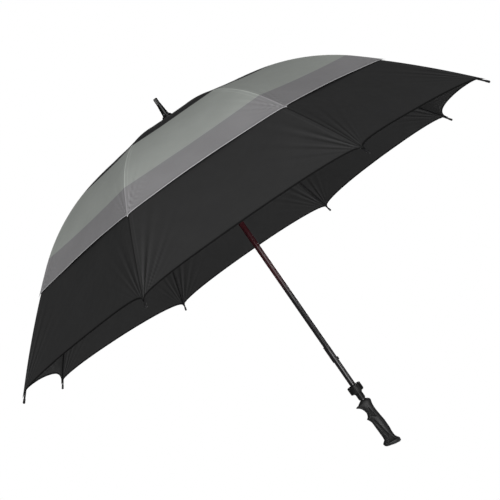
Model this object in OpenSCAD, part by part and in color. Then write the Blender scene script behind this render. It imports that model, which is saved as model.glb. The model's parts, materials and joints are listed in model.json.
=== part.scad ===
// Vented double-canopy golf umbrella with eight folding ribs.
// Origin: on the shaft axis at the lowest point of the handle. +Z runs up the shaft to the
// ferrule, and the finger side of the handle faces -X. The umbrella is drawn open.

/* [Dome] */
// Height of the crown of the dome above the end of the handle
crown_z = 932.4; // [930:0.1:934]
// Radius of the flat curve that each rib follows around the crown
crown_curve = 931; // [900:1:960]
// Slope of the dome where the crown ends and the tighter shoulder begins, in degrees
crown_angle = 15.7; // [15:0.1:16.4]
// Radius of the tighter curve of the shoulder, where the stretchers push
shoulder_curve = 504; // [495:1:515]
// Slope of the dome where the shoulder ends and the straighter skirt begins, in degrees
shoulder_angle = 42.2; // [41.5:0.1:43]
// Length of the straighter skirt, along a rib
skirt_length = 303.5; // [300:0.5:306]
// Radius of the slight curve of the skirt
skirt_curve = 2320; // [2100:10:2600]
// How far the middle of a gore sags in from the straight line between two ribs, at the hem
gore_sag = 18; // [10:0.5:20]

/* [Canopies] */
// Thickness of the cloth
cloth_t = 0.6; // [0.4:0.1:1]
// How far the vent canopy stands above the lower canopy
vent_lift = 2.6; // [2:0.1:4]
// Distance along a rib from the crown to the hem of the vent canopy
vent_hem = 556; // [540:1:570]
// Distance along a rib from the crown to the opening of the lower canopy
vent_opening = 458; // [400:1:470]
// How far the hem of the vent canopy rises between two ribs
vent_hem_rise = 15; // [0:1:30]
// How far the hem of the lower canopy rises between two rib tips
lower_hem_rise = 29; // [0:1:40]
// Gap between two neighbouring pieces of cloth on different ribs
cloth_gap = 0.5; // [0.4:0.1:1]

/* [Ribs and stretchers] */
// Diameter of a rib rod
rib_d = 4; // [3:0.1:4]
// Diameter of a stretcher rod
stretcher_d = 3.6; // [3:0.1:3.6]
// Distance from the rib pivot to the stretcher pivot, which is also the stretcher's length
link_length = 338; // [334:1:341]
// Radius of the ring of pivots in the notch and in the runner
pivot_ring_r = 10.4; // [10.2:0.1:10.6]
// Distance of the stretcher pivot below the centre of the rib
ear_drop = 8.5; // [8:0.1:9.5]
// Distance along the rib from the stretcher pivot to the flex knuckle
knuckle_reach = 14; // [13:0.5:16]

/* [Shaft] */
// Outer diameter of the shaft tube
shaft_d = 14; // [13.8:0.1:14]
// Wall thickness of the shaft tube
shaft_wall = 1.5; // [1:0.1:1.8]
// Height of the ferrule's tip
ferrule_top = 1000; // [990:1:1010]
// Radius of the ferrule's tip
ferrule_tip_r = 5.5; // [5:0.1:6]

/* [Handle end] */
// Outer diameter of the cup that holds the rib tips when the umbrella is shut
cup_d = 34.6; // [34:0.1:36]
// Height of the cup's rim
cup_rim_z = 170.6; // [170:0.2:172]
// Slope of the bottom face of the handle, in degrees
base_tilt = 15; // [5:1:18]

/* [Hidden] */
RIBS = 8;

pitch = 360 / RIBS;
shaft_r = shaft_d / 2;
tube_bore_r = shaft_r - shaft_wall;
side_gap = 0.3;      // between faces that move past each other
slip = 0.05;         // radial gap of a sleeve on the shaft
pin_slip = 0.06;     // radial gap of a hinge pin in its eye

// The line of a rib in its own upright plane: three arcs that run smoothly into each other
crown_length = crown_curve * crown_angle * PI / 180;
shoulder_end = crown_length + shoulder_curve * (shoulder_angle - crown_angle) * PI / 180;
rib_length = shoulder_end + skirt_length;
rib_drop = 3.6;      // centre of the rib below the outside of the lower canopy
crown_centre = [0, crown_z - crown_curve];
shoulder_centre = crown_centre
    + (crown_curve - shoulder_curve) * [sin(crown_angle), cos(crown_angle)];
skirt_centre = shoulder_centre
    + (shoulder_curve - skirt_curve) * [sin(shoulder_angle), cos(shoulder_angle)];

function centre_at(s) = s < crown_length ? crown_centre
    : s < shoulder_end ? shoulder_centre : skirt_centre;
function curve_at(s) = s < crown_length ? crown_curve
    : s < shoulder_end ? shoulder_curve : skirt_curve;
function slope_at(s) = s < crown_length ? s / crown_curve * 180 / PI
    : s < shoulder_end ? crown_angle + (s - crown_length) / shoulder_curve * 180 / PI
    : shoulder_angle + (s - shoulder_end) / skirt_curve * 180 / PI;
function line_r(s, up) = centre_at(s)[0] + (curve_at(s) + up) * sin(slope_at(s));
function line_z(s, up) = centre_at(s)[1] + (curve_at(s) + up) * cos(slope_at(s));

// Pivots: the rib's on the notch, the stretcher's on the rib, and the stretcher's on the runner
notch_pivot_z = crown_centre[1] + sqrt(pow(crown_curve - rib_drop, 2) - pow(pivot_ring_r, 2));
notch_s = crown_curve * asin(pivot_ring_r / (crown_curve - rib_drop)) * PI / 180;
ear_line_r = shoulder_curve - rib_drop - ear_drop;
notch_reach = [pivot_ring_r, notch_pivot_z] - shoulder_centre;
notch_far = norm(notch_reach);
ear_turn = acos((pow(ear_line_r, 2) + pow(notch_far, 2) - pow(link_length, 2))
    / (2 * ear_line_r * notch_far));
ear_angle = atan2(notch_reach[0], notch_reach[1]) + ear_turn;
ear_s = crown_length + shoulder_curve * (ear_angle - crown_angle) * PI / 180;
ear_r = shoulder_centre[0] + ear_line_r * sin(ear_angle);
ear_z = shoulder_centre[1] + ear_line_r * cos(ear_angle);
knuckle_s = ear_s + knuckle_reach * shoulder_curve / (shoulder_curve - rib_drop);
runner_pivot_z = 2 * ear_z - notch_pivot_z;
stretcher_slope = atan((ear_z - runner_pivot_z) / (ear_r - pivot_ring_r));

// Pivot parts
wire_r = 0.75;
eye_r = 2.4;
eye_t = 2.2;
slot_w = eye_t + 2 * side_gap;
slot_floor_r = 7.6;
crown_r = 14.5;
knuckle_pin_r = 1.1;
ear_pin_r = 1;
knuckle_t = 2.4;
cheek_gap = knuckle_t + 2 * side_gap;
joiner_w = 5.8;
joiner_half_h = 2.5;
sleeve_r = 2.4;
sleeve_half = 6;     // half the length of a sleeve
rod_stop = 2;        // the rods end this far short of the middle of a sleeve

// Catches
catch_t = 2.8;
catch_slot_w = catch_t + 2 * side_gap;
trunnion_r = 0.8;
top_catch_z = runner_pivot_z - 90.4;
top_catch_pivot = [-4.2, top_catch_z];
bottom_catch_pivot = [0, 244];
keyway_r = 10;
keyway_w = 4.6;

// Grip sections from the base up: height, reach to the front, to the back and to the side
GRIP = [
    [4.8, 17.6, 17.4, 13.2], [7.8, 20.4, 20.6, 15.2], [12, 21.2, 20.8, 15.8],
    [17, 18.2, 16.6, 14], [22, 13.8, 14.2, 12.6], [30, 12.8, 13.9, 12],
    [43, 13, 15.1, 12.6], [60, 13.4, 15.1, 13], [72, 13.8, 14.2, 12.8],
    [80, 16.4, 13.2, 12.6], [85.5, 19.2, 12.8, 12.2], [89.3, 14.9, 12.4, 12],
    [98.8, 11.8, 12, 11.6], [109, 14.2, 12.6, 11.8], [116, 19, 14.2, 12.2],
    [121.5, 25.3, 15.5, 12.8], [125.3, 16, 13.8, 12], [129.6, 9, 9, 9]];
GRIP_SIDES = 24;
grip_tilt_end = 34;   // the sections are level from this height up
socket_z = 38;
cap_r = 8;
cap_t = 3;

// ---------------------------------------------------------------- helpers
module spoke(k) { rotate([0, 0, (k - 0.5) * pitch]) children(); }
module on_rib(s, up) {
    translate([line_r(s, up), 0, line_z(s, up)]) rotate([0, slope_at(s), 0]) children();
}
module cross_pin(r, width) { rotate([90, 0, 0]) cylinder(r = r, h = width, center = true, $fn = 32); }
module tube(r_out, r_in, z0, z1) {
    translate([0, 0, z0]) difference() {
        cylinder(r = r_out, h = z1 - z0, $fn = 96);
        translate([0, 0, -1]) cylinder(r = r_in, h = z1 - z0 + 2, $fn = 96);
    }
}
// A stretch of rib rod between two distances from the crown that lie on the same arc
module bent_rod(s0, s1) {
    middle = (s0 + s1) / 2;
    centre = centre_at(middle);
    slope_1 = slope_at(s1);
    translate([centre[0], 0, centre[1]]) rotate([90, 0, 0]) rotate([0, 0, 90 - slope_1])
        rotate_extrude(angle = slope_1 - slope_at(s0), $fn = 400)
            translate([curve_at(middle) - rib_drop, 0]) circle(d = rib_d, $fn = 24);
}
// The crimped sleeve where one stretch of rod runs into the next
module rod_sleeve(s) {
    on_rib(s, -rib_drop) rotate([0, 90, 0])
        cylinder(r = sleeve_r, h = 2 * sleeve_half, center = true, $fn = 32);
}
// The eight straight lengths of an octagonal pivot wire
module pivot_wire(r, z) {
    side = 2 * pivot_ring_r * tan(pitch / 2);
    for (k = [1:RIBS]) spoke(k) translate([pivot_ring_r, 0, z]) cross_pin(r, side);
}

// A piece of cloth that covers half a gore on each side of its rib
function gore_point(s, w, up) = let (
        r = line_r(s, up),
        z = line_z(s, up),
        share = abs(w) / 2 - cloth_gap / (4 * r * sin(pitch / 2)) * abs(w),
        u = s / rib_length,
        sag = gore_sag * u * u * (3 - 2 * u) * sin(180 * share))
    [r * (1 - share + share * cos(pitch)) - sag * cos(pitch / 2),
     sign(w) * (r * share * sin(pitch) - sag * sin(pitch / 2)), z];
module cloth(s0, s1, rise, lift, rows, cols) {
    per = cols + 1;
    all = (rows + 1) * per;
    ws = [for (j = [0:cols]) 2 * j / cols - 1];
    ends = [for (w = ws) s1 - rise * pow(sin(90 * abs(w)), 0.8)];
    outside = [for (i = [0:rows]) for (j = [0:cols])
        gore_point(s0 + (ends[j] - s0) * i / rows, ws[j], lift)];
    inside = [for (i = [0:rows]) for (j = [0:cols])
        gore_point(s0 + (ends[j] - s0) * i / rows, ws[j], lift - cloth_t)];
    over = [for (i = [0:rows - 1]) for (j = [0:cols - 1]) let (a = i * per + j)
        each [[a, a + per + 1, a + per], [a, a + 1, a + per + 1]]];
    under = [for (t = over) [t[2] + all, t[1] + all, t[0] + all]];
    rim = concat([for (j = [0:cols]) j], [for (i = [1:rows]) i * per + cols],
        [for (j = [1:cols]) rows * per + cols - j], [for (i = [1:rows - 1]) (rows - i) * per]);
    wall = [for (n = [0:len(rim) - 1]) let (a = rim[n], b = rim[(n + 1) % len(rim)])
        each [[a, a + all, b + all], [a, b + all, b]]];
    polyhedron(points = concat(outside, inside), faces = concat(over, under, wall));
}

// ---------------------------------------------------------------- shaft
module shaft_tube() {
    color("#1c1214") difference() {
        tube(shaft_r, tube_bore_r, 40, 953.8);
        translate([-shaft_r - 1, -catch_slot_w / 2, top_catch_z - 5])
            cube([shaft_r, catch_slot_w, 43]);
        translate([-shaft_r - 1, -catch_slot_w / 2, 236]) cube([shaft_r, catch_slot_w, 50]);
        translate([1, -catch_slot_w / 2, 238.5]) cube([shaft_r, catch_slot_w, 11]);
        translate([top_catch_pivot[0], 0, top_catch_pivot[1]])
            cross_pin(trunnion_r + pin_slip, 20);
        translate([bottom_catch_pivot[0], 0, bottom_catch_pivot[1]])
            cross_pin(trunnion_r + pin_slip, 20);
    }
}
module ferrule() {
    plug_r = tube_bore_r - slip;
    color("#161616") rotate_extrude($fn = 96) polygon([
        [0, 925], [plug_r - 0.6, 925], [plug_r, 926], [plug_r, 954], [8.4, 954], [8.3, 956],
        [7.6, 962], [ferrule_tip_r, 984], [ferrule_tip_r, ferrule_top - 1.2],
        [ferrule_tip_r - 1.2, ferrule_top], [0, ferrule_top]]);
}
module ferrule_skirt() {
    bottom = crown_z + vent_lift + 0.6;
    color("#161616") rotate_extrude($fn = 96) difference() {
        polygon([[shaft_r + slip, bottom], [13.9, bottom], [14.2, bottom + 3], [14.3, 943.6],
            [14, 946.4], [13.2, 948.8], [11.9, 950.8], [10.1, 952.4], [8.8, 953.4],
            [8.6, 953.8], [shaft_r + slip, 953.8]]);
        translate([shaft_r + slip, bottom - 1]) square([3.4, 2.4]);
    }
}
module top_notch() {
    plate_top = notch_pivot_z + 5.1;
    slot_top = notch_pivot_z + eye_r + side_gap + 0.1;
    color("#202020") difference() {
        union() {
            tube(crown_r, shaft_r + slip, notch_pivot_z - 5, plate_top);
            tube(9, shaft_r + slip, notch_pivot_z - 22.7, notch_pivot_z - 4.9);
        }
        for (k = [1:RIBS]) spoke(k) translate([slot_floor_r, -slot_w / 2, notch_pivot_z - 6])
            cube([crown_r, slot_w, slot_top - notch_pivot_z + 6]);
        pivot_wire(wire_r + 0.02, notch_pivot_z);
    }
}
module notch_wire() { color("silver") pivot_wire(wire_r, notch_pivot_z); }

// ---------------------------------------------------------------- catches
module catch_plate(outline) {
    rotate([90, 0, 0]) translate([0, 0, -catch_t / 2]) linear_extrude(catch_t) polygon(outline);
}
module top_spring() {
    color("silver") {
        translate([0, 0, top_catch_z]) catch_plate([[-5.4, -3.5], [-2.8, -3.5], [-2.6, 6],
            [-5, 28], [-6.2, 34.5], [-9.6, 34.5], [-9.6, 32.5], [-6.9, 6], [-5.6, 0]]);
        translate([top_catch_pivot[0], 0, top_catch_pivot[1]]) cross_pin(trunnion_r, 9.4);
    }
}
module bottom_spring() {
    color("#1a1a1a") {
        catch_plate([[-8.5, 239.2], [8.6, 239.8], [9.3, 241.5], [9.3, 246.5], [8.6, 248.2],
            [-2, 248.2], [-4.4, 254], [-5.8, 262], [-5.8, 281], [-6.8, 282.6], [-8.2, 282.6],
            [-8.9, 281.6], [-8.9, 279.4], [-8.2, 278.4], [-8.5, 276]]);
        translate([bottom_catch_pivot[0], 0, bottom_catch_pivot[1]]) cross_pin(trunnion_r, 13.2);
    }
}

// ---------------------------------------------------------------- tip cup and handle
module tip_cup() {
    cup_r = cup_d / 2;
    color("#181818") rotate_extrude($fn = 96) polygon([
        [shaft_r + slip, 132.5], [8.3, 132.5], [8.8, 134], [8.8, 147.5], [10.2, 148.5],
        [10.2, 151], [cup_r - 1.6, 151.2], [cup_r, 153.2], [cup_r, cup_rim_z - 0.6],
        [cup_r - 0.6, cup_rim_z], [cup_r - 1.4, cup_rim_z], [cup_r - 1.8, cup_rim_z - 0.6],
        [cup_r - 1.8, 153.6], [cup_r - 2.8, 152.6], [shaft_r + slip, 152.6]]);
}
function tilt_at(z) = base_tilt * max(0, 1 - z / grip_tilt_end);
function grip_ring(row) = [for (n = [0:GRIP_SIDES - 1])
    let (a = 360 * n / GRIP_SIDES, c = cos(a), q = sin(a),
        x = (c > 0 ? row[2] : row[1]) * sign(c) * pow(abs(c), 0.86),
        y = row[3] * sign(q) * pow(abs(q), 0.86))
    [x, y, row[0] - x * tan(tilt_at(row[0]))]];
module grip_body() {
    last = len(GRIP) - 1;
    points = concat([for (row = GRIP) each grip_ring(row)],
        [[0, 0, GRIP[0][0] - 0.5], [0, 0, GRIP[last][0]]]);
    base = len(points) - 2;
    sides = [for (i = [0:last - 1]) for (n = [0:GRIP_SIDES - 1])
        let (a = i * GRIP_SIDES + n, b = i * GRIP_SIDES + (n + 1) % GRIP_SIDES)
        each [[a, b + GRIP_SIDES, b], [a, a + GRIP_SIDES, b + GRIP_SIDES]]];
    ends = [for (n = [0:GRIP_SIDES - 1]) let (m = (n + 1) % GRIP_SIDES)
        each [[base, n, m], [base + 1, last * GRIP_SIDES + m, last * GRIP_SIDES + n]]];
    polyhedron(points = points, faces = concat(sides, ends));
}
module end_cap_shape(r, t) {
    rotate([0, base_tilt, 0]) translate([0, 0, 3.6]) cylinder(r = r, h = t, $fn = 64);
}
module handle_grip() {
    color("#242526") difference() {
        grip_body();
        translate([0, 0, socket_z]) cylinder(r = shaft_r + slip, h = 120, $fn = 64);
        end_cap_shape(cap_r + 0.1, cap_t + 0.1);
        rotate([0, base_tilt, 0]) translate([0, 0, -5]) cylinder(r = cap_r + 0.1, h = 9, $fn = 64);
    }
}
module handle_end_cap() { color("#3a3b3c") end_cap_shape(cap_r, cap_t); }

// ---------------------------------------------------------------- runner
module runner() {
    top = runner_pivot_z + 3.2;
    sleeve_bottom = runner_pivot_z - 56;
    color("#1b1b1b") difference() {
        union() {
            tube(crown_r, shaft_r + slip, runner_pivot_z - 8, top);
            tube(11.8, shaft_r + slip, sleeve_bottom + 4, runner_pivot_z - 7.9);
            tube(13.2, shaft_r + slip, sleeve_bottom, sleeve_bottom + 4.1);
        }
        for (k = [1:RIBS]) spoke(k)
            translate([slot_floor_r, -slot_w / 2, runner_pivot_z - eye_r - side_gap - 0.1])
                cube([crown_r, slot_w, 20]);
        for (side = [-1, 1]) translate([side * keyway_r / 2, 0, sleeve_bottom + 30])
            cube([keyway_r, keyway_w, 80], center = true);
        pivot_wire(wire_r + 0.02, runner_pivot_z);
    }
}
module runner_wire() { color("silver") pivot_wire(wire_r, runner_pivot_z); }

// ---------------------------------------------------------------- ribs
module eye_bar(r, t, hole_r, reach, height) {
    difference() {
        union() {
            cross_pin(r, t);
            translate([0, -t / 2, -height / 2]) cube([reach, t, height]);
        }
        cross_pin(hole_r, t + 2);
    }
}
module joiner() {
    step = 0.2;      // the bosses at the knuckle stand this far out of the block
    cheek = (joiner_w - cheek_gap) / 2 - step;
    on_rib(ear_s, -rib_drop) difference() {
        union() {
            translate([-14, -joiner_w / 2, -joiner_half_h])
                cube([20, joiner_w, 2 * joiner_half_h]);
            translate([-3, -joiner_w / 2, -ear_drop]) cube([6, joiner_w, ear_drop]);
            translate([0, 0, -ear_drop]) cross_pin(3, joiner_w);
            translate([2, step - joiner_w / 2, -joiner_half_h])
                cube([knuckle_reach - 3, joiner_w - 2 * step, 2 * joiner_half_h]);
        }
        translate([-6, -cheek_gap / 2, -ear_drop - 4]) cube([12, cheek_gap, 8.6]);
        translate([6, -cheek_gap / 2, -5]) cube([knuckle_reach, cheek_gap, 10]);
    }
    on_rib(ear_s, -rib_drop - ear_drop) cross_pin(ear_pin_r, joiner_w);
    on_rib(knuckle_s, -rib_drop) {
        for (side = [-1, 1]) translate([0, side * (joiner_w - cheek) / 2, 0])
            cross_pin(3, cheek);
        cross_pin(knuckle_pin_r, joiner_w - 2 * step);
    }
}
module rib(k) {
    first_s = notch_s + 8;
    color("#15171a") spoke(k) {
        on_rib(notch_s, -rib_drop) eye_bar(eye_r, eye_t, wire_r + pin_slip, 10, 3.6);
        bent_rod(first_s, crown_length - rod_stop);
        rod_sleeve(crown_length);
        bent_rod(crown_length + rod_stop, ear_s + 4);
        joiner();
    }
}
module rib_outer(k) {
    tip_s = rib_length;
    color("#15171a") spoke(k) {
        on_rib(knuckle_s, -rib_drop)
            eye_bar(2.6, knuckle_t, knuckle_pin_r + pin_slip, 8, 3.6);
        bent_rod(knuckle_s + 5.5, shoulder_end - rod_stop);
        rod_sleeve(shoulder_end);
        bent_rod(shoulder_end + rod_stop, tip_s - 4);
        on_rib(tip_s, -rib_drop) {
            rotate([0, -90, 0]) cylinder(r = 2.6, h = 8, $fn = 32);
            sphere(r = 2.9, $fn = 32);
        }
    }
}
module stretcher(k) {
    rod_start = 7;
    rod_end = link_length - 13;
    color("#15171a") spoke(k) translate([ear_r, 0, ear_z]) rotate([0, 180 - stretcher_slope, 0]) {
        eye_bar(2.5, knuckle_t, ear_pin_r + pin_slip, 9, 3.4);
        translate([rod_start, 0, 0]) rotate([0, 90, 0])
            cylinder(d = stretcher_d, h = rod_end - rod_start, $fn = 24);
        translate([link_length, 0, 0]) rotate([0, 0, 180])
            eye_bar(eye_r, eye_t, wire_r + pin_slip, 15, 3.4);
    }
}

// ---------------------------------------------------------------- cloth
module vent_inner(k) {
    color("#7f857d") spoke(k)
        cloth(10.2, knuckle_s - cloth_gap / 2, 0, vent_lift, 6, 4);
}
module vent_outer(k) {
    color("#6f706f") spoke(k)
        cloth(knuckle_s + cloth_gap / 2, vent_hem, vent_hem_rise, vent_lift, 4, 6);
}
module canopy(k) {
    color("#232425") spoke(k) cloth(vent_opening, rib_length - 9, lower_hem_rise, 0, 8, 6);
}

shaft_tube();
ferrule();
ferrule_skirt();
top_notch();
notch_wire();
top_spring();
bottom_spring();
tip_cup();
handle_grip();
handle_end_cap();
runner();
runner_wire();
for (k = [1:RIBS]) {
    rib(k);
    rib_outer(k);
    stretcher(k);
    vent_inner(k);
    vent_outer(k);
    canopy(k);
}
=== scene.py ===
"""Looks of the golf umbrella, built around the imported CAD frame. Metres, +Z up the shaft."""
import json
from math import atan2, cos, pi, radians, sin, sqrt

import bpy
import numpy as np
from mathutils import Matrix, Vector


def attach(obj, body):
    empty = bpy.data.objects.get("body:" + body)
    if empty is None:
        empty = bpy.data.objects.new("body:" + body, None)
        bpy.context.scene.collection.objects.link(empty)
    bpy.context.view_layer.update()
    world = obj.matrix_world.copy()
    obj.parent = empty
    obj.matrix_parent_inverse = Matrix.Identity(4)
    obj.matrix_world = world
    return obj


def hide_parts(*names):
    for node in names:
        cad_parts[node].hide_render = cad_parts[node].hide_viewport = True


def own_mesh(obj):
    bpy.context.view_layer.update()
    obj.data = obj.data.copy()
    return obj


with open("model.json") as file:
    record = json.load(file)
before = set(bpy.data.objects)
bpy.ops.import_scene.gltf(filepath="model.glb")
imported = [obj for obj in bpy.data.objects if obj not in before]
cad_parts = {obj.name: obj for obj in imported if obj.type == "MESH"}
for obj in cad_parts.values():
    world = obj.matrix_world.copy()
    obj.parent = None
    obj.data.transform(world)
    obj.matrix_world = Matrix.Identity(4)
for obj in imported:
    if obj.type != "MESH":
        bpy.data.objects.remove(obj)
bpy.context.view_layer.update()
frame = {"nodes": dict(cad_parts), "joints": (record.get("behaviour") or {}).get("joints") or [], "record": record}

MM = 0.001

# ---------------------------------------------------------------- driving sizes, as in part.scad
CROWN_Z = 932.4 * MM
CROWN_CURVE = 931 * MM
CROWN_ANGLE = radians(15.7)
SHOULDER_CURVE = 504 * MM
SHOULDER_ANGLE = radians(42.2)
SKIRT_LENGTH = 303.5 * MM
SKIRT_CURVE = 2320 * MM
GORE_SAG = 18 * MM
VENT_LIFT = 2.6 * MM
VENT_HEM = 556 * MM
VENT_OPENING = 458 * MM
VENT_HEM_RISE = 15 * MM
LOWER_HEM_RISE = 29 * MM
CLOTH_START = 10.2 * MM
CORNER_SETBACK = 9 * MM
RIBS = 8
PITCH = 2 * pi / RIBS

# Cloth make-up
CLOTH_T = 0.35 * MM
SEAM_HALF = 2.8 * MM
SEAM_RISE = 0.28 * MM
SEAM_FOLD = 8.5 * MM      # line of the soft fold that runs beside each seam, where the cloth gets a painted highlight
HEM_WIDTH = 6 * MM
HEM_RISE = 0.3 * MM
VENT_TRIM = 1.8 * MM      # pale bound edge of the vent hem
CANOPY_TRIM = 4.2 * MM    # shadowed fold of the canopy hem
FOLD_FAN = 0.34           # spread of the folds at a corner, as a share of a quarter turn

# Colour zones of the vent canopy, as distances along a rib from the crown
BLACK_CROWN_END = 284 * MM
SAGE_END = 465 * MM

# The line of a rib is three arcs that run smoothly into each other
crown_length = CROWN_CURVE * CROWN_ANGLE
shoulder_end = crown_length + SHOULDER_CURVE * (SHOULDER_ANGLE - CROWN_ANGLE)
rib_length = shoulder_end + SKIRT_LENGTH
crown_centre = np.array([0, CROWN_Z - CROWN_CURVE])
shoulder_centre = crown_centre + (CROWN_CURVE - SHOULDER_CURVE) * np.array(
    [sin(CROWN_ANGLE), cos(CROWN_ANGLE)])
skirt_centre = shoulder_centre + (SHOULDER_CURVE - SKIRT_CURVE) * np.array(
    [sin(SHOULDER_ANGLE), cos(SHOULDER_ANGLE)])


def rib_azimuth(k):
    return (k - 0.5) * PITCH


def line_point(s, up):
    """(radius, height) of the cloth over a rib at distance s from the crown, raised by up. Arrays."""
    crown, skirt = s < crown_length, s > shoulder_end
    pick = lambda a, b, c: np.where(crown, a, np.where(skirt, c, b))
    slope = pick(s / CROWN_CURVE, CROWN_ANGLE + (s - crown_length) / SHOULDER_CURVE,
                 SHOULDER_ANGLE + (s - shoulder_end) / SKIRT_CURVE)
    curve = pick(CROWN_CURVE, SHOULDER_CURVE, SKIRT_CURVE) + up
    r = pick(crown_centre[0], shoulder_centre[0], skirt_centre[0]) + curve * np.sin(slope)
    z = pick(crown_centre[1], shoulder_centre[1], skirt_centre[1]) + curve * np.cos(slope)
    return r, z


def smooth(x, low, high):
    t = np.clip((x - low) / (high - low), 0, 1)
    return t * t * (3 - 2 * t)


# ---------------------------------------------------------------- cloth
def gore_surface(s, share, side, up):
    """Cloth at distance s along the rib and share of the way to the next rib, in the rib's own frame."""
    r, z = line_point(s, up)
    u = s / rib_length
    sag = GORE_SAG * u * u * (3 - 2 * u) * np.sin(pi * share)
    x = r * (1 - share + share * cos(PITCH)) - sag * cos(PITCH / 2)
    y = side * (r * share * sin(PITCH) - sag * sin(PITCH / 2))
    return np.stack([x, y, z], axis=-1)


def corner_folds(along, across, seed, reach):
    """Fan of tension folds that runs up the gore from a corner: along the rib and across from it."""
    dist = np.hypot(along, across) + 1e-6
    turn = np.arctan2(across, np.maximum(along, 1e-6)) / (pi / 2)
    swing = (np.sin(2 * pi * (8.3 * turn + 0.13 * seed) + 1.3 * np.sin(seed * 2.3 + 5 * turn))
             + 0.6 * np.sin(2 * pi * (13.7 * turn + 0.37 * seed)))
    grow = (dist / reach) * np.exp(1 - dist / reach)
    fan = np.exp(-(turn / FOLD_FAN) ** 2)
    return swing * grow * smooth(turn, 0.02, 0.1) * fan


def half_cloth(name, k, side, spec):
    """One half-gore beside rib k, as a thin closed sheet with a raised seam and a turned hem."""
    rows, cols = spec["rows"], spec["cols"]
    r_of = lambda s: line_point(s, spec["lift"])[0]
    w = np.linspace(0, 1, cols + 1)[None, :]
    end = spec["end"] - spec["rise"] * np.sin(pi / 2 * w) ** spec["hem_power"]
    hem_rows = [HEM_WIDTH + 1.2 * MM, HEM_WIDTH, 0] if spec["hem"] else [0]
    u = 1 - (1 - np.linspace(0, 1, rows + 1)[:, None]) ** spec["row_power"]
    body_end = end - hem_rows[0]
    s = spec["start"] + (body_end - spec["start"]) * u
    s = np.concatenate([s] + [np.broadcast_to(end - d, (1, cols + 1)) for d in hem_rows[1:]])
    hem_d = end - s
    half_width = r_of(s) * sin(PITCH / 2)
    # the first columns follow the seam, the rest spread out to the middle of the gore
    seam = np.array([0, 0.55, 1.0, 1.3]) * SEAM_HALF
    t = np.empty_like(s)
    spread = (np.clip(np.arange(cols + 1) - 3, 0, None) / (cols - 3)) ** spec["col_power"]
    for j in range(cols + 1):
        near = min(j, 3)
        fixed = np.minimum(seam[near], half_width[:, j] * (0.08 * near))
        t[:, j] = fixed if j < 4 else (
            np.minimum(seam[3], half_width[:, j] * 0.24) * (1 - spread[j]) + half_width[:, j] * spread[j])
    share = t / (2 * half_width)
    lift = np.full_like(s, spec["lift"])
    lift += SEAM_RISE * (1 - smooth(t, SEAM_HALF * 0.98, SEAM_HALF * 1.25))
    if spec["hem"]:
        lift += HEM_RISE * (1 - smooth(hem_d, HEM_WIDTH * 0.98, HEM_WIDTH + 1.2 * MM))
        lift += spec["open_edge"] * np.sin(pi * share) ** 2 * (1 - smooth(hem_d, 0, 70 * MM))
    middle = 1 - smooth(w, 0.72, 0.98)
    seed = k * 2 + (1 if side > 0 else 0)
    along = spec["end"] + CORNER_SETBACK * 0.4 - s
    folds = corner_folds(along, t, seed, spec["fold_reach"]) * middle
    lift += spec["fold_height"] * folds
    lift += spec["billow"] * np.sin(pi * share) ** 2 * np.sin(9 * s / rib_length + k * 2.4) * middle
    outer = gore_surface(s, share, side, lift)
    eps = 0.5 * MM
    ds = gore_surface(s + eps, share, side, spec["lift"]) - gore_surface(s - eps, share, side, spec["lift"])
    de = 1e-3
    dt = gore_surface(s, share + de, side, spec["lift"]) - gore_surface(s, share - de, side, spec["lift"])
    normal = np.cross(ds, dt) * side
    normal /= np.linalg.norm(normal, axis=-1, keepdims=True)
    inner = outer - normal * CLOTH_T
    n_rows, n_cols = outer.shape[:2]
    a = rib_azimuth(k)
    spin = np.array([[cos(a), -sin(a), 0], [sin(a), cos(a), 0], [0, 0, 1]])
    points = np.concatenate([outer.reshape(-1, 3), inner.reshape(-1, 3)]) @ spin.T
    index = np.arange(n_rows * n_cols).reshape(n_rows, n_cols)
    quads = np.stack([index[:-1, :-1], index[1:, :-1], index[1:, 1:], index[:-1, 1:]], -1).reshape(-1, 4)
    if side < 0:
        quads = quads[:, ::-1]
    count = n_rows * n_cols
    rim = np.concatenate([index[0, :], index[1:, -1], index[-1, -2::-1], index[-2:0:-1, 0]])
    wall = np.stack([rim, np.roll(rim, -1), np.roll(rim, -1) + count, rim + count], -1)
    if side < 0:
        wall = wall[:, ::-1]
    faces = np.concatenate([quads, quads[:, ::-1] + count, wall[:, ::-1]]).tolist()
    mesh = bpy.data.meshes.new(name)
    mesh.from_pydata(points.tolist(), [], faces)
    mesh.update()
    sharp = set()
    for x, y in zip(rim.tolist(), np.roll(rim, -1).tolist()):
        sharp.add((min(x, y), max(x, y)))
        sharp.add((min(x, y) + count, max(x, y) + count))
    flags = mesh.attributes.new("sharp_edge", "BOOLEAN", "EDGE")
    for e in mesh.edges:
        v = e.vertices
        flags.data[e.index].value = (min(v), max(v)) in sharp
    mesh.polygons.foreach_set("use_smooth", [True] * len(mesh.polygons))
    both = lambda values: np.concatenate([values.ravel(), values.ravel()]).astype(np.float32)
    free = hem_d if spec["hem"] else np.full_like(hem_d, 1.0)
    # The fold attribute is the fold height times the spec's gain; the cloth material paints shade in its valleys
    # and highlight on its crests from it.
    for label, values in (("run", s), ("rib_gap", t), ("hem_gap", free),
                          ("across", t * side + k * 1.7), ("fold", folds * spec["fold_shade_gain"])):
        layer = mesh.attributes.new(label, "FLOAT", "POINT")
        layer.data.foreach_set("value", both(values))
    obj = bpy.data.objects.new(name, mesh)
    bpy.context.scene.collection.objects.link(obj)
    obj["flat_size"] = [float(half_width.max()), float(s.max() - s.min())]
    return obj


joint_at = {j["name"]: Vector(j["pos_m"]) for j in frame["joints"]}


def knuckle_run():
    """Distance along the cloth from the crown to the flex knuckles."""
    p = joint_at["rib_flex_1"]
    slope = atan2(p.xy.length - shoulder_centre[0], p.z - shoulder_centre[1])
    return crown_length + SHOULDER_CURVE * (slope - CROWN_ANGLE)


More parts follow.
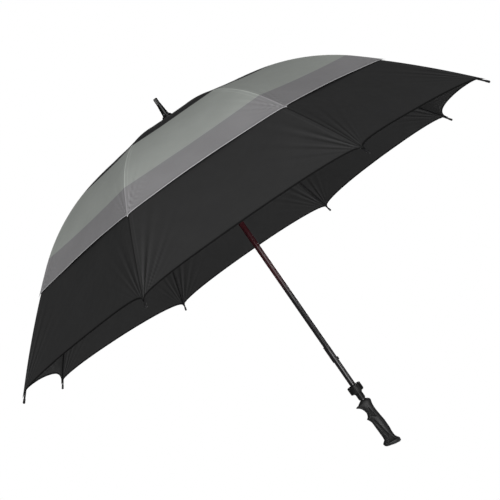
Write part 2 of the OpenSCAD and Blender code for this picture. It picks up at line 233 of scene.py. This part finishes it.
KNUCKLE = knuckle_run()
SPECS = {
    "vent_inner": dict(start=CLOTH_START, end=KNUCKLE, rise=0, lift=VENT_LIFT, rows=34, cols=16,
                       hem=False, fold_reach=60 * MM, fold_height=0, fold_shade_gain=0, billow=0.5 * MM,
                       hem_power=1, row_power=1, col_power=1,
                       open_edge=0, body="rib_body", slot="vent_cloth", keep=0.28),
    "vent_outer": dict(start=KNUCKLE, end=VENT_HEM, rise=VENT_HEM_RISE, lift=VENT_LIFT, rows=26, cols=26,
                       hem=True, fold_reach=26 * MM, fold_height=0.4 * MM, fold_shade_gain=0.3,
                       billow=0.5 * MM, hem_power=0.5, row_power=1.2, col_power=1.4,
                       open_edge=3.2 * MM, body="rib_outer_body", slot="vent_cloth", keep=0.1),
    "canopy": dict(start=VENT_OPENING, end=rib_length - CORNER_SETBACK, rise=LOWER_HEM_RISE, lift=0.0,
                   rows=72, cols=44, hem=True, fold_reach=36 * MM, fold_height=1.1 * MM,
                   fold_shade_gain=1.0, billow=0.9 * MM, hem_power=0.62, row_power=1.5, col_power=1.6,
                   open_edge=0, body="rib_outer_body", slot="canopy_cloth", keep=0.1),
}


def cloth_pieces(materials):
    for kind, spec in SPECS.items():
        for k in range(1, RIBS + 1):
            body = f"{spec['body']}_{k}"
            for side, word in ((1, "a"), (-1, "b")):
                piece = half_cloth(f"{kind}_{k}{word}_cloth", k, side, spec)
                piece.data.materials.append(materials[spec["slot"]])
                del piece["flat_size"]
                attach(piece, body)
                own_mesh(piece)
                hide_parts(f"{kind}_{k}")


# ---------------------------------------------------------------- node material helpers
class Nodes:
    """Short names for building one node tree."""

    def __init__(self, name):
        self.material = bpy.data.materials.new(name)
        self.material.use_nodes = True
        self.tree = self.material.node_tree
        self.shader = self.tree.nodes["Principled BSDF"]

    def add(self, kind, inputs=(), out=0, **settings):
        node = self.tree.nodes.new(kind)
        for key, value in settings.items():
            setattr(node, key, value)
        for key, value in dict(inputs).items():
            self.put(node.inputs[key], value)
        return node.outputs[out]

    def put(self, socket, value):
        if isinstance(value, bpy.types.NodeSocket):
            self.tree.links.new(value, socket)
        else:
            socket.default_value = value

    def set(self, **inputs):
        for key, value in inputs.items():
            self.put(self.shader.inputs[key.replace("_", " ")], value)

    def math(self, kind, a, b=0.0):
        return self.add("ShaderNodeMath", {0: a, 1: b}, operation=kind)

    def attribute(self, name):
        return self.add("ShaderNodeAttribute", out="Fac", attribute_name=name)

    def ramp(self, value, low, high, a=0.0, b=1.0):
        return self.add("ShaderNodeMapRange", {"Value": value, "From Min": low, "From Max": high,
                                               "To Min": a, "To Max": b},
                        interpolation_type="SMOOTHSTEP")

    def mix(self, share, a, b):
        node = self.tree.nodes.new("ShaderNodeMix")
        node.data_type = "RGBA"
        self.put(node.inputs[0], share)
        self.put(node.inputs[6], a)
        self.put(node.inputs[7], b)
        return node.outputs[2]

    def scale_colour(self, colour, share):
        node = self.tree.nodes.new("ShaderNodeVectorMath")
        node.operation = "SCALE"
        self.put(node.inputs[0], colour if isinstance(colour, bpy.types.NodeSocket) else colour[:3])
        self.put(node.inputs[3], share)
        return node.outputs[0]

    def place(self):
        return self.add("ShaderNodeTexCoord", out="Object")

    def axes(self, vector):
        node = self.tree.nodes.new("ShaderNodeSeparateXYZ")
        self.put(node.inputs[0], vector)
        return node.outputs

    def noise(self, vector, scale, detail=3.0, rough=0.5):
        return self.add("ShaderNodeTexNoise", {"Vector": vector, "Scale": scale, "Detail": detail,
                                               "Roughness": rough})

    def bump(self, height, distance, strength=1.0):
        self.set(Normal=self.add("ShaderNodeBump", {"Height": height, "Distance": distance,
                                                    "Strength": strength}))


def rgb(r, g, b):
    return (r, g, b, 1.0)


# ---------------------------------------------------------------- materials
THREAD = 0.55 * MM       # pitch of the weave's threads
STITCH = 2.6 * MM        # pitch of the stitches
THREAD_HALF = 0.16 * MM  # half the width of the sewing thread


def pongee(name, zone_colours, seam_gain, fold_highlight_gain, hem_trim_and_shade_gain, trim, roughness):
    """Plain-woven pongee. zone_colours is [(distance from the crown, colour)], from the crown out."""
    n = Nodes(name)
    run, gap, hem, across = (n.attribute(x) for x in ("run", "rib_gap", "hem_gap", "across"))
    place = n.place()
    colour = zone_colours[0][1]
    for start, tone in zone_colours[1:]:
        colour = n.mix(n.ramp(run, start - 0.4 * MM, start + 0.4 * MM), colour, tone)
    mottle = n.ramp(n.noise(place, 14.0, 4.0), 0.3, 0.7, 0.97, 1.03)
    warp = n.math("SINE", n.math("MULTIPLY", across, 2 * pi / THREAD))
    weft = n.math("SINE", n.math("MULTIPLY", run, 2 * pi / THREAD))
    weave = n.math("MULTIPLY", warp, weft)
    thread_tone = n.ramp(weave, -1, 1, 0.96, 1.04)
    seam = n.ramp(gap, SEAM_HALF * 0.45, SEAM_HALF * 0.65, seam_gain, 1.0)
    # Painted highlight along the soft fold beside the seam, standing in for light caught by that fold.
    off_fold = n.math("ABSOLUTE", n.math("SUBTRACT", gap, SEAM_FOLD))
    seam = n.math("MULTIPLY", seam, n.ramp(off_fold, 0.3 * MM, 2.0 * MM, fold_highlight_gain, 1.0))
    groove = n.ramp(gap, 0.0, 0.4 * MM, 0.8, 1.0)
    # Band along the hem: on the vent a pale bound edge; on the canopy painted shadow of the turned hem fold.
    edge = n.ramp(hem, trim * 0.9, trim * 1.3, hem_trim_and_shade_gain, 1.0)
    tone = n.math("MULTIPLY", n.math("MULTIPLY", mottle, thread_tone), n.math("MULTIPLY", seam, edge))
    tone = n.math("MULTIPLY", tone, groove)
    # Painted shade in the fold valleys and painted highlight on the fold crests, from the fold attribute.
    tone = n.math("MULTIPLY", tone, n.ramp(n.attribute("fold"), -0.9, 0.9, 0.5, 1.6))
    dash = n.math("GREATER_THAN", n.math("SINE", n.math("MULTIPLY", run, 2 * pi / STITCH)), -0.2)
    off_seam = n.math("ABSOLUTE", n.math("SUBTRACT", gap, SEAM_HALF * 0.78))
    seam_line = n.math("LESS_THAN", off_seam, THREAD_HALF)
    dash_hem = n.math("GREATER_THAN", n.math("SINE", n.math("MULTIPLY", across, 2 * pi / STITCH)), -0.2)
    off_hem = n.math("ABSOLUTE", n.math("SUBTRACT", hem, HEM_WIDTH * 0.82))
    hem_line = n.math("LESS_THAN", off_hem, THREAD_HALF)
    stitch = n.math("MAXIMUM", n.math("MULTIPLY", dash, seam_line), n.math("MULTIPLY", dash_hem, hem_line))
    tone = n.math("MULTIPLY", tone, n.ramp(stitch, 0, 1, 1.0, 1.35))
    n.set(Base_Color=n.scale_colour(colour, tone))
    n.set(Roughness=n.ramp(n.noise(place, 60.0, 2.0), 0.3, 0.7, roughness - 0.06, roughness + 0.06))
    n.set(Specular_IOR_Level=0.04)
    crease = n.noise(place, 26.0, 5.0, 0.6)
    height = n.math("ADD", n.math("MULTIPLY", weave, 0.02), n.math("MULTIPLY", crease, 1.0))
    height = n.math("ADD", height, n.math("MULTIPLY", stitch, 0.25))
    n.bump(height, 0.5 * MM, 0.4)
    return n.material


def gloss_black(name, tone, roughness, coat):
    """Polished black moulding, with soft handling marks."""
    n = Nodes(name)
    place = n.place()
    scuff = n.noise(place, 90.0, 3.0, 0.5)
    n.set(Base_Color=n.mix(n.ramp(scuff, 0.45, 0.75), rgb(tone, tone, tone * 1.03),
                           rgb(tone * 1.6, tone * 1.6, tone * 1.65)))
    n.set(Roughness=n.ramp(scuff, 0.35, 0.75, roughness, roughness + 0.08))
    n.set(Coat_Weight=coat, Coat_Roughness=0.04, Specular_IOR_Level=0.05)
    n.bump(scuff, 0.02 * MM, 0.1)
    return n.material


def moulded(name, tone, roughness, grain_scale, grain_depth, shine, inset_finish_and_shade_tone=1.0):
    """Moulded plastic or rubber: fine spark-eroded grain, soft wear and flow marks, darker insets that are partly
    a rougher textured finish and partly painted shade of the recesses.
    """
    n = Nodes(name)
    place = n.place()
    fine = n.noise(place, grain_scale, 3.0, 0.6)
    broad = n.noise(place, 45.0, 3.0, 0.5)
    worn = n.ramp(broad, 0.5, 0.72)
    base = n.mix(worn, rgb(tone, tone * 1.01, tone * 1.03), rgb(tone * 1.45, tone * 1.45, tone * 1.48))
    grained = n.mix(n.ramp(fine, 0.42, 0.7, 0, 0.5), base, rgb(tone * 0.6, tone * 0.6, tone * 0.62))
    # Insets: darker, rougher textured panels, with painted shade of the recess added to their colour.
    inset = n.attribute("inset")
    n.set(Base_Color=n.scale_colour(grained, n.ramp(inset, 0.1, 0.9, 1.0, inset_finish_and_shade_tone)))
    gloss = n.ramp(broad, 0.3, 0.7, roughness, roughness + 0.15)
    n.set(Roughness=n.math("ADD", gloss, n.ramp(inset, 0.1, 0.9, 0.0, 0.2)), Specular_IOR_Level=shine)
    n.bump(fine, grain_depth, 0.8)
    return n.material


def wound_shaft():
    """Filament-wound fibreglass under lacquer: dark red near the canopy, black lower down."""
    n = Nodes("wound_fibreglass")
    place = n.place()
    x, y, z = n.axes(place)
    around = n.math("MULTIPLY", n.math("ARCTAN2", y, x), 7 * MM)
    pitch = 4.4 * MM
    left = n.math("SINE", n.math("MULTIPLY", n.math("ADD", around, z), 2 * pi / pitch))
    right = n.math("SINE", n.math("MULTIPLY", n.math("SUBTRACT", around, z), 2 * pi / pitch))
    braid = n.math("MULTIPLY", left, right)
    strand = n.noise(place, 60.0, 2.0)
    red = n.mix(n.ramp(braid, -0.6, 0.6), rgb(0.034, 0.006, 0.008), rgb(0.014, 0.004, 0.005))
    black = n.mix(n.ramp(braid, -0.6, 0.6), rgb(0.007, 0.006, 0.007), rgb(0.004, 0.004, 0.004))
    n.set(Base_Color=n.mix(n.ramp(z, 0.42, 0.50), black, red))
    n.set(Roughness=n.ramp(strand, 0.3, 0.7, 0.16, 0.26), Specular_IOR_Level=0.15)
    n.set(Coat_Weight=0.35, Coat_Roughness=0.05)
    woven = n.ramp(z, 0.38, 0.52, 0.0, 0.4)
    n.bump(n.math("MULTIPLY", braid, woven), 0.1 * MM, 0.4)
    return n.material


def rod():
    """Pultruded fibreglass rod: fine lengthways fibres under a black pigment."""
    n = Nodes("rib_fibreglass")
    place = n.place()
    fibre = n.noise(place, 1400.0, 2.0, 0.7)
    cloud = n.noise(place, 30.0, 3.0)
    n.set(Base_Color=n.mix(n.ramp(fibre, 0.4, 0.7), rgb(0.004, 0.004, 0.004), rgb(0.012, 0.012, 0.013)))
    n.set(Roughness=n.ramp(cloud, 0.3, 0.7, 0.42, 0.6), Specular_IOR_Level=0.08)
    n.bump(fibre, 0.05 * MM, 0.6)
    return n.material


def bright_wire(name, tone):
    """Drawn, zinc-plated steel wire."""
    n = Nodes(name)
    place = n.place()
    drawn = n.noise(place, 700.0, 4.0, 0.7)
    n.set(Base_Color=n.mix(n.ramp(drawn, 0.35, 0.75), rgb(tone, tone, tone * 1.02),
                           rgb(tone * 0.6, tone * 0.6, tone * 0.58)))
    n.set(Metallic=1.0, Roughness=n.ramp(drawn, 0.3, 0.7, 0.24, 0.42))
    n.bump(drawn, 0.04 * MM, 0.5)
    return n.material


def all_materials():
    black = rgb(0.0145, 0.0145, 0.0146)
    sage = rgb(0.159, 0.168, 0.158)
    grey = rgb(0.119, 0.117, 0.120)
    return {
        "vent_cloth": pongee("vent_pongee", [(0, black), (BLACK_CROWN_END, sage), (SAGE_END, grey)],
                             1.42, 1.12, 2.0, VENT_TRIM, 0.9),
        "canopy_cloth": pongee("canopy_pongee", [(0, black)], 0.5, 1.22, 0.25, CANOPY_TRIM, 0.9),
        "shaft": wound_shaft(),
        "ferrule": gloss_black("ferrule_gloss", 0.0015, 0.1, 0.35),
        "fittings": moulded("fitting_nylon", 0.004, 0.3, 900.0, 0.03 * MM, 0.1),
        "wire": bright_wire("pivot_wire_steel", 0.62),
        "springs": bright_wire("catch_spring_steel", 0.5),
        "ribs": rod(),
        "grip": moulded("grip_rubber", 0.0075, 0.32, 1300.0, 0.03 * MM, 0.12, 0.12),
        "cap": moulded("cap_plastic", 0.03, 0.4, 1000.0, 0.05 * MM, 0.2),
    }


# ---------------------------------------------------------------- grip
# Sections from the base up: height, reach to the front (-X), to the back and to the side, in mm
GRIP = np.array([
    [4.8, 17.6, 17.4, 13.2], [7.8, 20.4, 20.6, 15.2], [12, 21.2, 20.8, 15.8],
    [17, 18.2, 16.6, 14], [22, 13.8, 14.2, 12.6], [30, 12.8, 13.9, 12],
    [43, 13, 15.1, 12.6], [60, 13.4, 15.1, 13], [72, 13.8, 14.2, 12.8],
    [80, 16.4, 13.2, 12.6], [85.5, 19.2, 12.8, 12.2], [89.3, 14.9, 12.4, 12],
    [98.8, 11.8, 12, 11.6], [109, 14.2, 12.6, 11.8], [116, 19, 14.2, 12.2],
    [121.5, 25.3, 15.5, 12.8], [125.3, 16, 13.8, 12], [129.6, 9, 9, 9]])
BASE_TILT = radians(15)
TILT_END = 34.0
GRIP_ROUND = 0.86


def steady_curve(heights, column, at):
    """Shape-keeping cubic through the grip's sections, without overshoot."""
    slope = np.diff(column) / np.diff(heights)
    tangent = np.zeros_like(column)
    same = slope[:-1] * slope[1:] > 0
    tangent[1:-1][same] = 2 * slope[:-1][same] * slope[1:][same] / (slope[:-1] + slope[1:])[same]
    tangent[0], tangent[-1] = slope[0], slope[-1]
    i = np.clip(np.searchsorted(heights, at) - 1, 0, len(heights) - 2)
    h = heights[i + 1] - heights[i]
    u = (at - heights[i]) / h
    return ((1 + 2 * u) * (1 - u) ** 2 * column[i] + u * (1 - u) ** 2 * h * tangent[i]
            + u * u * (3 - 2 * u) * column[i + 1] + u * u * (u - 1) * h * tangent[i + 1])


def inside_by(x, z, corners):
    """How far inside a convex outline each point lies, in mm, negative outside."""
    deep = np.full_like(x, 1e9)
    for (x0, z0), (x1, z1) in zip(corners, corners[1:] + corners[:1]):
        length = sqrt((x1 - x0) ** 2 + (z1 - z0) ** 2)
        deep = np.minimum(deep, ((x1 - x0) * (z - z0) - (z1 - z0) * (x - x0)) / length)
    return deep


def grip_relief(x, z, sideness):
    """Sculpted panels on both sides of the grip, at side-view place x, z: (depth in mm, how inset)."""
    upper = smooth(inside_by(x, z, [(-7.5, 91), (4.5, 80), (-0.5, 110)]), -0.5, 0.9)
    centre = -8.5 + 9.5 * (82 - z) / 56
    valley = (1 - smooth(np.abs(x - centre), 1.2, 4.0)) * smooth(z, 24, 34) * (1 - smooth(z, 72, 84))
    base = smooth(inside_by(x, z, [(-8, 14.5), (13, 11.5), (3.5, 37)]), -0.5, 0.9)
    scoop = (1 - smooth(np.hypot((x + 12) / 7, (z - 99) / 11), 0.5, 1.1))
    depth = 1.7 * upper + 1.9 * valley + 1.3 * base + 0.8 * scoop
    return sideness * depth, np.clip(sideness * (upper + base + 0.75 * valley + 0.5 * scoop), 0, 1)


def loft(name, rings):
    """Closed skin over rings of equal length, with a point at each end."""
    count, per = len(rings), len(rings[0])
    verts = [tuple(p) for ring in rings for p in ring]
    faces = []
    for i in range(count - 1):
        for j in range(per):
            m = (j + 1) % per
            faces.append((i * per + j, i * per + m, (i + 1) * per + m, (i + 1) * per + j))
    for ring, first in ((rings[0], 0), (rings[-1], (count - 1) * per)):
        verts.append(tuple(np.mean(np.array(ring), axis=0)))
        tip = len(verts) - 1
        for j in range(per):
            m = (j + 1) % per
            faces.append((tip, first + m, first + j) if first == 0 else (tip, first + j, first + m))
    mesh = bpy.data.meshes.new(name)
    mesh.from_pydata(verts, [], faces)
    mesh.polygons.foreach_set("use_smooth", [True] * len(mesh.polygons))
    mesh.update()
    obj = bpy.data.objects.new(name, mesh)
    bpy.context.scene.collection.objects.link(obj)
    return obj


def grip_piece(materials):
    sides, rows = 160, 260
    angle = np.linspace(0, 2 * pi, sides, endpoint=False)
    c, q = np.cos(angle), np.sin(angle)
    heights = GRIP[:, 0]
    at = np.concatenate([np.linspace(heights[0], 26, 110), np.linspace(26, heights[-1], rows)[1:]])
    front, back, wide = (steady_curve(heights, GRIP[:, i], at) for i in (1, 2, 3))
    rings, insets = [], []

    def ring(z, f, b, s, drop=0.0):
        x = np.where(c > 0, b, f) * np.sign(c) * np.abs(c) ** GRIP_ROUND
        y = s * np.sign(q) * np.abs(q) ** GRIP_ROUND
        tilt = np.tan(BASE_TILT * max(0.0, 1 - z / TILT_END))
        height = z + drop - x * tilt
        relief, inset = grip_relief(x, height, np.abs(q) ** 1.2) if drop == 0 else (0 * x, 0 * x)
        insets.append(inset)
        lip = 0.9 * np.exp(-((z - 8.9) / 0.55) ** 2) if drop == 0 else 0.0
        ridges = 0.25 * np.clip(-c, 0, 1) * sin(2 * pi * z / 3.2) * (1 if 36 < z < 70 else 0)
        length = np.hypot(x, y) + 1e-9
        keep = 1 - (relief + lip - ridges * (drop == 0)) / length
        return np.stack([x * keep, y * keep, height], axis=-1) * MM

    base = (GRIP[0, 1], GRIP[0, 2], GRIP[0, 3])
    recess = 8.25
    for share in (0.0, 0.35, 0.7):
        size = recess + (np.array(base) - recess) * share
        rings.append(ring(GRIP[0, 0], *size, drop=-0.35 * (1 - share) - 0.1))
    rings.insert(0, ring(GRIP[0, 0], recess, recess, recess, drop=0.7))
    insets.insert(0, insets.pop())
    rings += [ring(z, f, b, s) for z, f, b, s in zip(at, front, back, wide)]
    top = GRIP[-1, 0]
    for r, drop in ((8.6, 0.12), (7.6, 0.1), (7.3, -0.3), (7.3, -2.5)):
        rings.append(ring(top, r, r, r, drop=drop))
    obj = loft("grip_shell", rings)
    # The inset attribute drives the darker grip panels: partly textured finish, partly painted shade of the
    # recesses.
    layer = obj.data.attributes.new("inset", "FLOAT", "POINT")
    layer.data.foreach_set("value", np.append(np.concatenate(insets), [0, 0]).astype(np.float32))
    obj.data.materials.append(materials["grip"])
    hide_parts("handle_grip")
    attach(obj, "shaft")


# ---------------------------------------------------------------- CAD nodes that stay
def dress_nodes(materials):
    slots = {s["node"]: s["material_slot"] for s in frame["record"]["subparts"]}
    for name, obj in frame["nodes"].items():
        obj.data.materials.clear()
        obj.data.materials.append(materials[slots[name]])


# ---------------------------------------------------------------- stage, light and camera
CAMERA_AT = Vector((-0.08914, -2.83198, 0.43315))
CAMERA_AIM = Vector((-0.01861, 0.0, 0.57197))
CAMERA_ROLL = radians(-34.68)
LENS, SENSOR = 85.92, 36.0
FLOOR_Z = -2.6
FLOOR_SIDE = 6.0
FLOOR_GLOW = 0.95
AMBIENT = 0.14      # world light that falls on the umbrella
BACKDROP = 1.0      # world brightness behind it


def aim(obj, at, target, roll=0.0):
    obj.location = at
    turn = (target - at).to_track_quat("-Z", "Y")
    obj.rotation_mode = "QUATERNION"
    obj.rotation_quaternion = turn @ Matrix.Rotation(roll, 4, "Z").to_quaternion()


def soft_light(name, at, target, width, height, power):
    data = bpy.data.lights.new(name, "AREA")
    data.shape = "RECTANGLE"
    data.size = width
    data.size_y = height
    data.energy = power
    lamp = bpy.data.objects.new(name, data)
    bpy.context.scene.collection.objects.link(lamp)
    aim(lamp, Vector(at), Vector(target))


def stage():
    scene = bpy.context.scene
    scene.view_settings.view_transform = "Standard"
    world = bpy.data.worlds.new("studio")
    scene.world = world
    world.use_nodes = True
    tree = world.node_tree
    back = tree.nodes["Background"]
    back.inputs["Color"].default_value = rgb(1, 1, 1)
    path = tree.nodes.new("ShaderNodeLightPath")
    level = tree.nodes.new("ShaderNodeMapRange")
    level.inputs["To Min"].default_value = AMBIENT
    level.inputs["To Max"].default_value = BACKDROP
    tree.links.new(path.outputs["Is Camera Ray"], level.inputs["Value"])
    tree.links.new(level.outputs[0], back.inputs["Strength"])
    mesh = bpy.data.meshes.new("studio_floor")
    h = FLOOR_SIDE / 2
    corners = [(-h, -h, FLOOR_Z), (h, -h, FLOOR_Z), (h, h, FLOOR_Z), (-h, h, FLOOR_Z)]
    mesh.from_pydata(corners, [], [(0, 1, 2, 3)])
    floor = bpy.data.objects.new("studio_floor", mesh)
    scene.collection.objects.link(floor)
    paint = Nodes("studio_white")
    paint.set(Base_Color=rgb(0.9, 0.9, 0.9), Roughness=0.9)
    paint.set(Emission_Color=rgb(1, 1, 1), Emission_Strength=FLOOR_GLOW)
    mesh.materials.append(paint.material)
    middle = (0, 0, 0.65)
    soft_light("key", (0.8, -3.2, 1.7), middle, 2.8, 2.8, 106)
    soft_light("fill", (-2.5, -2.0, 1.4), middle, 1.0, 1.0, 48)
    soft_light("top", (0.9, -0.6, 3.4), middle, 1.8, 1.8, 24)
    soft_light("under", (0.4, -2.4, -0.6), middle, 1.6, 1.6, 76)
    soft_light("ferrule_strip", (-2.2, -2.6, 1.6), (0, 0, 0.97), 0.22, 0.9, 12)
    soft_light("shaft_strip", (2.6, -1.5, 0.22), (0, 0, 0.3), 0.2, 1.2, 12)
    soft_light("back", (0.6, 3.2, 1.1), middle, 2.0, 2.0, 60)
    data = bpy.data.cameras.new("camera")
    data.lens, data.sensor_width = LENS, SENSOR
    data.dof.use_dof = False
    data.clip_start, data.clip_end = 0.05, 50
    cam = bpy.data.objects.new("camera", data)
    scene.collection.objects.link(cam)
    aim(cam, CAMERA_AT, CAMERA_AIM, CAMERA_ROLL)
    scene.camera = cam


def main():
    stage()
    materials = all_materials()
    dress_nodes(materials)
    cloth_pieces(materials)
    grip_piece(materials)


main()
